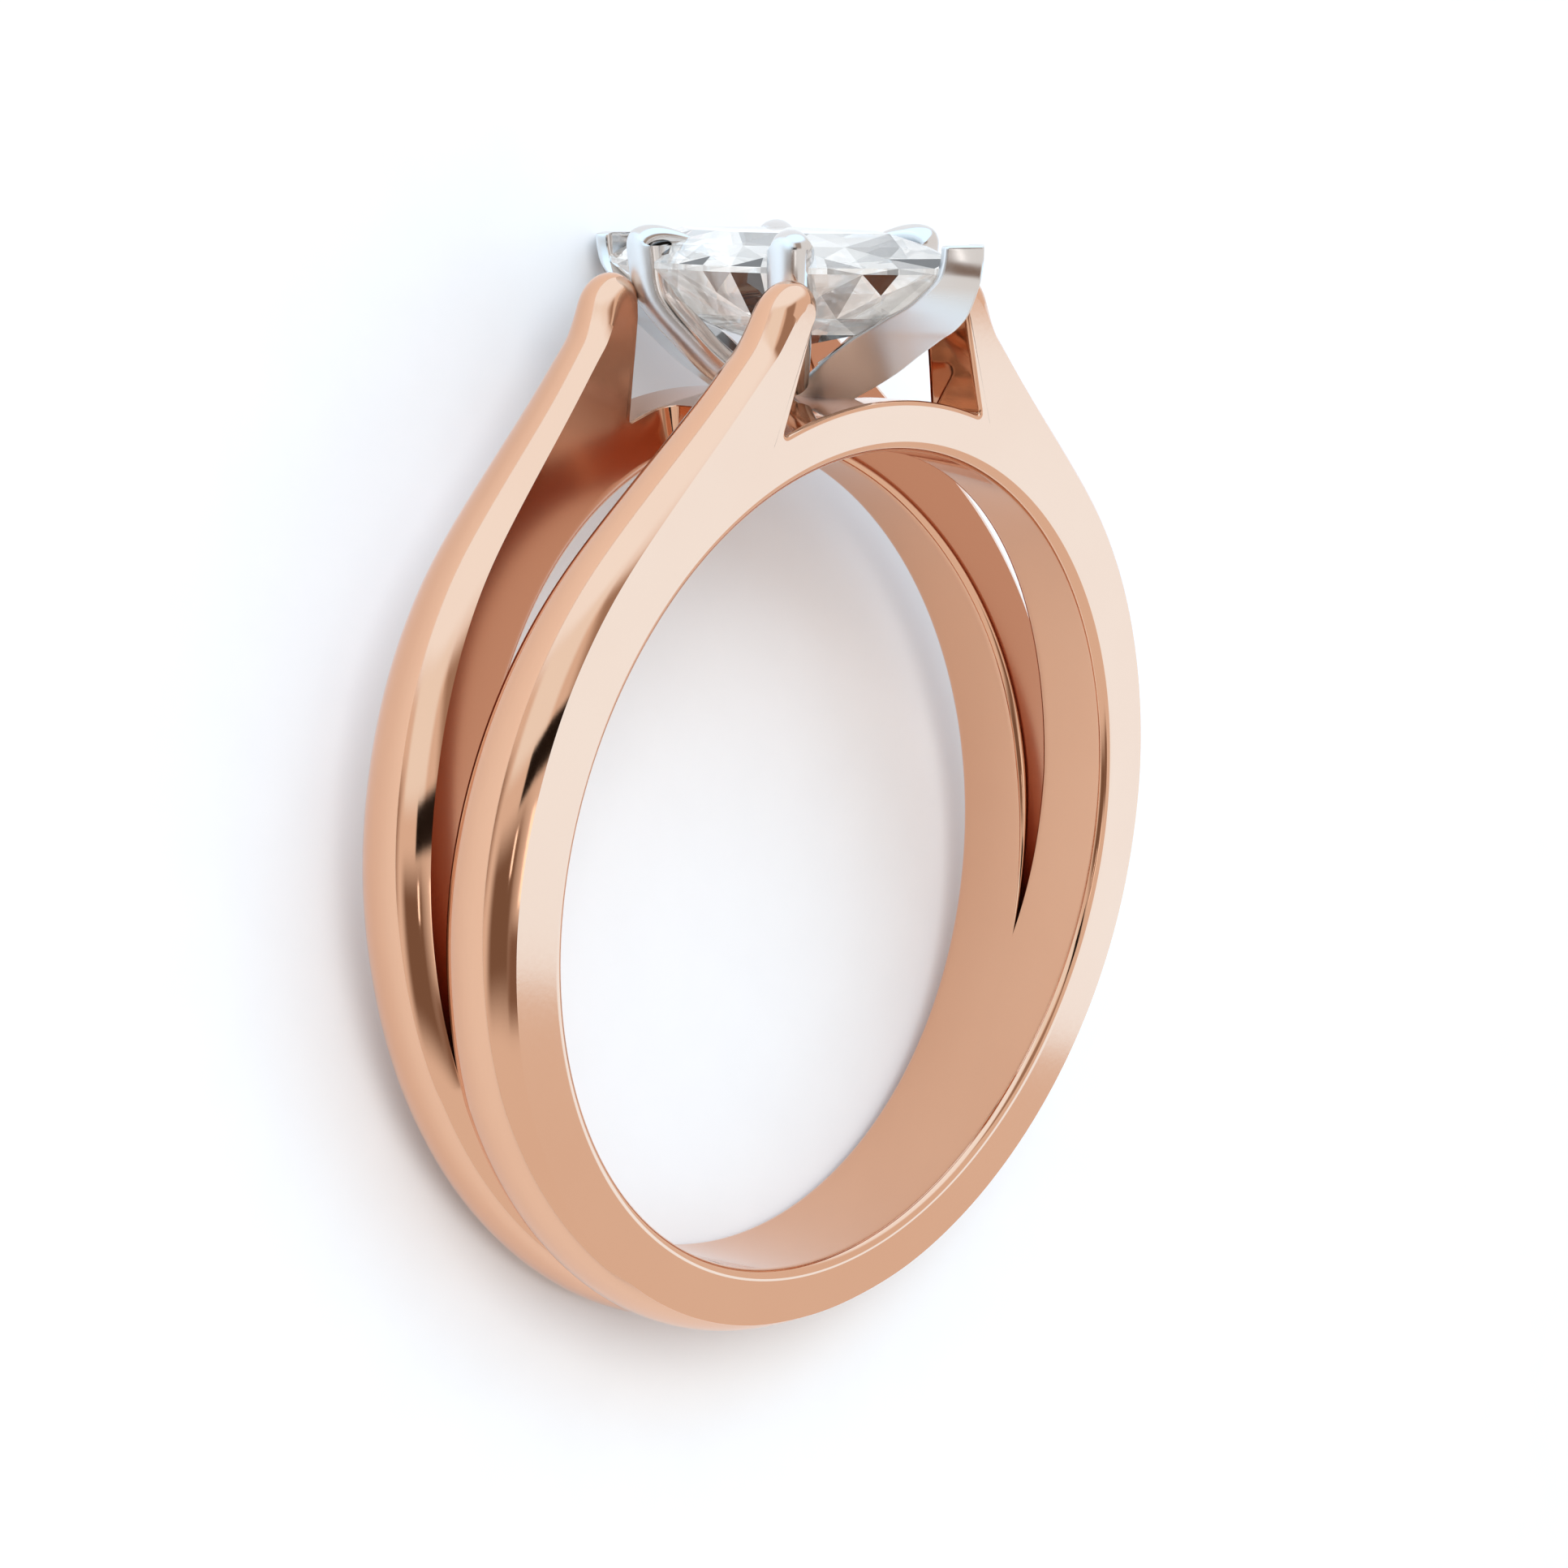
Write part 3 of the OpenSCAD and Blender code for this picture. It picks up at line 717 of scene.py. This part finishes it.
def cut_stone():
    """Colourless stone, cut and polished on a fine lap. Its sparkle is painted: most facets get a
    painted white tone, some grey and a few nearly black, by each facet's own tone; the same painted
    tone also glows faintly, a painted glow for what the pavilion turns back upward."""
    material, tree, shader = new_material("polished_colourless_stone")
    facet = node(tree, "ShaderNodeAttribute", attribute_name="painted_facet_light")
    painted_facet_ramp = node(tree, "ShaderNodeValToRGB", links={"Fac": facet.outputs["Fac"]})
    ramp = painted_facet_ramp.color_ramp
    ramp.interpolation = "CONSTANT"
    ramp.elements[0].color = linear(PAINTED_DARK_FACET_TONE)
    ramp.elements.remove(ramp.elements[1])
    for place, tone in PAINTED_FACET_TONES:
        ramp.elements.new(place).color = linear(tone)
    # Waves of the lap's faint haze, 0.4 mm long
    where = node(tree, "ShaderNodeTexCoord").outputs["Object"]
    lap = node(tree, "ShaderNodeTexNoise", {"Scale": 2500.0, "Detail": 2.0}, {"Vector": where})
    rough = node(tree, "ShaderNodeMapRange", {"To Min": 0.0, "To Max": 0.015},
                 {"Value": lap.outputs["Fac"]})
    tree.links.new(painted_facet_ramp.outputs["Color"], shader.inputs["Base Color"])
    # Painted light: each facet's painted tone also glows faintly
    tree.links.new(painted_facet_ramp.outputs["Color"], shader.inputs["Emission Color"])
    tree.links.new(rough.outputs["Result"], shader.inputs["Roughness"])
    shader.inputs["IOR"].default_value = 2.42
    shader.inputs["Specular IOR Level"].default_value = 0.35
    shader.inputs["Transmission Weight"].default_value = 0.72
    shader.inputs["Emission Strength"].default_value = 0.17
    return material


# Half width of the floor in metres
FLOOR_HALF = 0.6


def studio_floor():
    """Matt white paper sweep: almost even, with a very faint mottle of its fibres."""
    material, tree, shader = new_material("matt_white_paper")
    where = node(tree, "ShaderNodeTexCoord").outputs["Object"]
    fibres = node(tree, "ShaderNodeTexNoise", {"Scale": 600.0, "Detail": 4.0}, {"Vector": where})
    colour = node(tree, "ShaderNodeMixRGB",
                  {"Color1": linear("F4F4F4"), "Color2": linear("F0F0F0")},
                  {"Fac": fibres.outputs["Fac"]})
    tree.links.new(colour.outputs["Color"], shader.inputs["Base Color"])
    shader.inputs["Roughness"].default_value = 0.9
    shader.inputs["Specular IOR Level"].default_value = 0.1
    mesh = bpy.data.meshes.new("floor")
    s = FLOOR_HALF
    mesh.from_pydata([(-s, -s, 0), (s, -s, 0), (s, s, 0), (-s, s, 0)], [], [(0, 1, 2, 3)])
    mesh.materials.append(material)
    floor = bpy.data.objects.new("floor", mesh)
    bpy.context.scene.collection.objects.link(floor)


# Camera of the photo in the ring's frame: place in millimetres, turn from +Y toward +X and dip in
# radians, focal length and image size in pixels
CAMERA_PLACE = (-56.129, -48.835, 15.974)
CAMERA_YAW = 0.8550
CAMERA_DIP = -0.1923
CAMERA_FOCAL_PX = 4429.9
IMAGE_PX = 1932
SENSOR_MM = 36.0


def photo_camera():
    """The photo's camera, turned with the ring onto the floor."""
    yaw, dip = CAMERA_YAW, CAMERA_DIP
    look = np.array([math.cos(dip) * math.sin(yaw), math.cos(dip) * math.cos(yaw), math.sin(dip)])
    right = np.array([math.cos(yaw), -math.sin(yaw), 0.0])
    up = np.cross(right, look)
    axes = np.stack([turn_down(right), turn_down(up), -turn_down(look)], 1)
    data = bpy.data.cameras.new("photo_camera")
    data.sensor_fit = "HORIZONTAL"
    data.sensor_width = SENSOR_MM
    data.lens = SENSOR_MM * CAMERA_FOCAL_PX / IMAGE_PX
    data.clip_start = 0.001
    data.clip_end = 10.0
    camera = bpy.data.objects.new("photo_camera", data)
    matrix = Matrix(axes.tolist()).to_4x4()
    matrix.translation = lay_down(CAMERA_PLACE).tolist()
    camera.matrix_world = matrix
    bpy.context.scene.collection.objects.link(camera)
    bpy.context.scene.camera = camera


def soft_light(name, direction, distance, size, power):
    """A square soft box that faces the ring, in a direction of the ring's frame and at a distance
    in metres from just above the floor. Polished metal doesn't mirror it: the studio's panels are
    drawn in the surround instead."""
    d = turn_down(direction)
    d /= np.linalg.norm(d)
    data = bpy.data.lights.new(name, "AREA")
    data.shape = "SQUARE"
    data.size = size
    data.energy = power
    light = bpy.data.objects.new(name, data)
    bpy.context.scene.collection.objects.link(light)
    x = np.cross([0.0, 0.0, 1.0], d)
    x /= np.linalg.norm(x)
    matrix = Matrix(np.stack([x, np.cross(d, x), d], 1).tolist()).to_4x4()
    matrix.translation = (d * distance + np.array([0, 0, KEY_RISE])).tolist()
    light.matrix_world = matrix
    light.visible_glossy = False
    light.visible_camera = False


def within(tree, socket, low, high, soft):
    """1 where a number lies between low and high, falling to 0 over soft at each end."""
    rise = node(tree, "ShaderNodeMapRange", {"From Min": low - soft, "From Max": low + soft},
                {"Value": socket}, interpolation_type="SMOOTHSTEP")
    fall = node(tree, "ShaderNodeMapRange", {"From Min": high + soft, "From Max": high - soft},
                {"Value": socket}, interpolation_type="SMOOTHSTEP")
    both = node(tree, "ShaderNodeMath", operation="MULTIPLY",
                links={0: rise.outputs["Result"], 1: fall.outputs["Result"]})
    return both.outputs[0]


def along(tree, vector, direction):
    """How far a vector reaches along a direction of the ring's frame."""
    dot = node(tree, "ShaderNodeVectorMath", links={0: vector}, operation="DOT_PRODUCT")
    dot.inputs[1].default_value = turn_down(direction).tolist()
    return dot.outputs["Value"]


# Panels of the studio, in the ring's frame: bearing from +X toward +Y in degrees, half width in
# degrees, lowest and highest height share, softness of the edges, and light
PANELS = (
    ("overhead", 250, 180, 0.64, 1.10, 0.12, (1.20, 1.60, 2.00)),
    ("high front", 212, 21, 0.26, 0.70, 0.07, (1.10, 1.34, 1.52)),
    ("left wing", 175, 8, -0.14, 0.34, 0.10, (0.42, 0.35, 0.31)),
    ("right wing", 262, 14, 0.16, 0.60, 0.06, (0.44, 0.36, 0.31)),
    ("dark front", 216, 21, -0.50, 0.03, 0.11, (0.24, 0.17, 0.13)),
    ("dark right", 247, 10, -0.52, -0.30, 0.05, (0.26, 0.18, 0.14)),
    ("black card", 236, 15, 0.09, 0.26, 0.025, (0.015, 0.012, 0.010)),
    ("near lamp", 227, 1.6, -0.13, 0.0, 0.015, (1.9, 1.9, 1.9)),
    ("right lamp", 243.5, 1.4, -0.25, 0.0, 0.015, (1.9, 1.9, 1.9)),
    ("side box", -38, 24, -0.345, -0.155, 0.004, (1.20, 1.72, 2.28)),
)
SURROUND = (0.92, 0.91, 0.90)
# Softness of the change from a panel's own side of the ring to the other
AHEAD_SOFT = 0.01
# The light for the floor: its direction from the ring, and its distance and size in metres
KEY_WAY = (-0.45, -0.80, 0.45)
KEY_DISTANCE = 0.30
KEY_SIZE = 0.16
KEY_POWER = 0.36
KEY_RISE = 0.005


def studio():
    """Pale surround with panels that the polished metal mirrors, and a soft light for the floor.
    A panel covers the directions whose height share and sideways share lie within its limits, on
    its own side of the ring; each is laid over the ones before it."""
    world = bpy.data.worlds.new("pale_studio")
    bpy.context.scene.world = world
    world.use_nodes = True
    tree = world.node_tree
    tree.nodes.clear()
    way = node(tree, "ShaderNodeTexCoord").outputs["Generated"]
    height = along(tree, way, (0, 0, 1))
    light = None
    for name, bearing, half, low, high, soft, glow in PANELS:
        a = math.radians(bearing)
        mask = within(tree, height, low, high, soft)
        if half < 90:
            s = math.sin(math.radians(half))
            sideways = along(tree, way, (-math.sin(a), math.cos(a), 0))
            ahead = along(tree, way, (math.cos(a), math.sin(a), 0))
            for other in (within(tree, sideways, -s, s, soft),
                          within(tree, ahead, 0.0, PAST_ALL, AHEAD_SOFT)):
                both = node(tree, "ShaderNodeMath", links={0: mask, 1: other}, operation="MULTIPLY")
                mask = both.outputs[0]
        mix = node(tree, "ShaderNodeMixRGB", {"Color1": (*SURROUND, 1), "Color2": (*glow, 1)},
                   {"Fac": mask}, label=name)
        if light is not None:
            tree.links.new(light, mix.inputs["Color1"])
        light = mix.outputs["Color"]
    back = node(tree, "ShaderNodeBackground", {"Strength": 1.0}, {"Color": light})
    node(tree, "ShaderNodeOutputWorld", links={"Surface": back.outputs["Background"]})
    soft_light("key_box", KEY_WAY, KEY_DISTANCE, KEY_SIZE, KEY_POWER)
    bpy.context.scene.view_settings.view_transform = "Standard"


photo_camera()
studio()
studio_floor()

# Rose gold: the slot walls that face the middle plane get a darker, redder painted shade
rose_gold = polished_metal(
    "polished_rose_gold", "E1B192", "DEAC8D", 0.07, ("C48768", 0.22), facing_middle
)
# White gold: the walls that face across get painted light, a lighter, cooler tone over the rose
# they mirror
white_gold = polished_metal(
    "polished_white_gold", "DFD9D5", "D9D3CF", 0.14, ("E8EFF4", 0.36), facing_across
)
stone_look = cut_stone()

verts, faces = shank_surface()
make_piece("shank", lay_down(verts), faces, "split_shank", rose_gold, sharp=24)
verts, faces = head_surface()
make_piece("head", lay_down(verts), faces, "prong_head", white_gold, sharp=40)
verts, faces = hull_of(lay_down(stone_surface()))
stone = make_piece("stone", verts, faces, "marquise_stone", stone_look)
give_painted_facet_light(stone.data)
